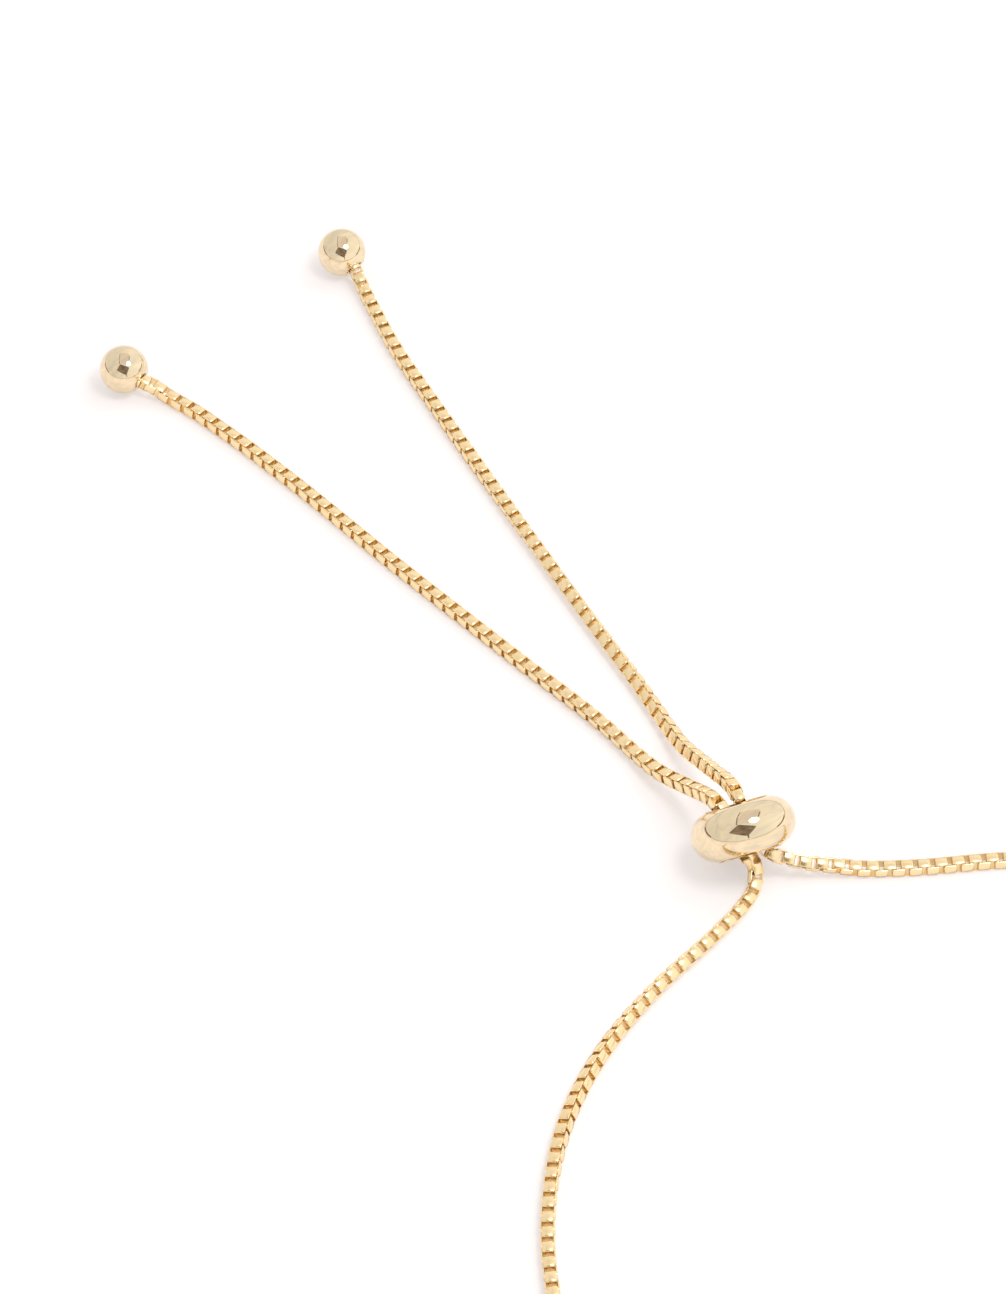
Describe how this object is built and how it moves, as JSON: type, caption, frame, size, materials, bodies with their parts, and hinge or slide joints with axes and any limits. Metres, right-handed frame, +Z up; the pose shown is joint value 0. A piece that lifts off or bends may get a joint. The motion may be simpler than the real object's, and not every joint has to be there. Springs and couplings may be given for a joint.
{
  "type": "sliding toggle bracelet",
  "caption": "Sliding toggle bracelet: a fine box chain loop whose ends pass through a polished slider bead and finish in end balls",
  "frame": {"origin": "middle of the laid out bracelet's length and width, on the table it lies on", "axes": "+Z is up from the table, +Y runs along the bracelet from the far side of the wrist loop to the end balls, +X is to the right"},
  "size_m": [0.0565, 0.1099, 0.0055],
  "materials": {
    "polished_gold": "mirror polished pale yellow gold plate over brass",
    "chain_gold": "bright cut pale yellow gold plated box chain",
    "soft_core": "smooth pale silicone rubber"
  },
  "bodies": {
    "root": {"slider": "polished_gold", "stopper_core": "soft_core", "ball_left": "polished_gold", "ball_right": "polished_gold", "chain_left": "chain_gold", "chain_right": "chain_gold"}
  },
  "joints": []
}
